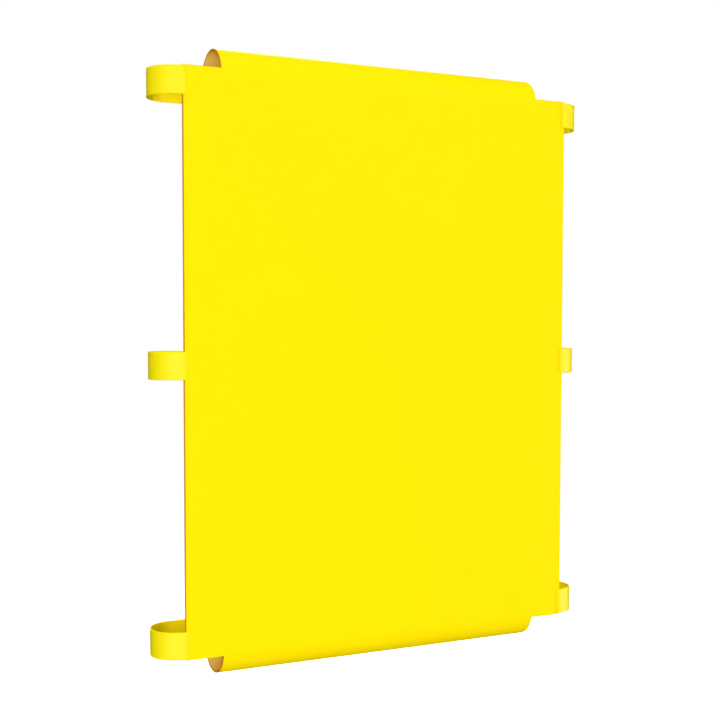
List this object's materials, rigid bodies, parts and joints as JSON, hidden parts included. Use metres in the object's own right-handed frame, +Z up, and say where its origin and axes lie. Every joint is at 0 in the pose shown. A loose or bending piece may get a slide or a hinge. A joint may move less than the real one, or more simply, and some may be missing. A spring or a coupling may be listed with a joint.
{
  "type": "stretcher sling panel",
  "caption": "Upright yellow coated-fabric sling panel with a pole sleeve along its top and bottom edges and webbing loops down both sides, for a tube frame.",
  "frame": {"origin": "middle of the axis of the tube that fills the top sleeve", "axes": "+Z up the panel, -Y out of its patient side, +X across it to the right as seen from the patient side"},
  "size_m": [0.455, 0.0572, 0.5706],
  "materials": {
    "coated_face": "satin PVC-coated fabric, fine grain",
    "canvas_lining": "matte tan canvas, plain weave",
    "edge_strip": "satin coated fabric",
    "webbing": "smooth lemon-yellow polyester webbing, slight sheen",
    "thread": "bonded polyester sewing thread"
  },
  "bodies": {
    "root": {"bed_face_ply": "coated_face", "bed_lining_ply": "canvas_lining", "left_edge_strip": "edge_strip", "right_edge_strip": "edge_strip", "left_top_strap": "webbing", "left_middle_strap": "webbing", "left_bottom_strap": "webbing", "right_top_strap": "webbing", "right_middle_strap": "webbing", "right_bottom_strap": "webbing", "top_sleeve_thread": "thread", "bottom_sleeve_thread": "thread", "left_strip_thread": "thread", "right_strip_thread": "thread", "left_top_strap_thread": "thread", "left_middle_strap_thread": "thread", "left_bottom_strap_thread": "thread", "right_top_strap_thread": "thread", "right_middle_strap_thread": "thread", "right_bottom_strap_thread": "thread"}
  },
  "joints": []
}
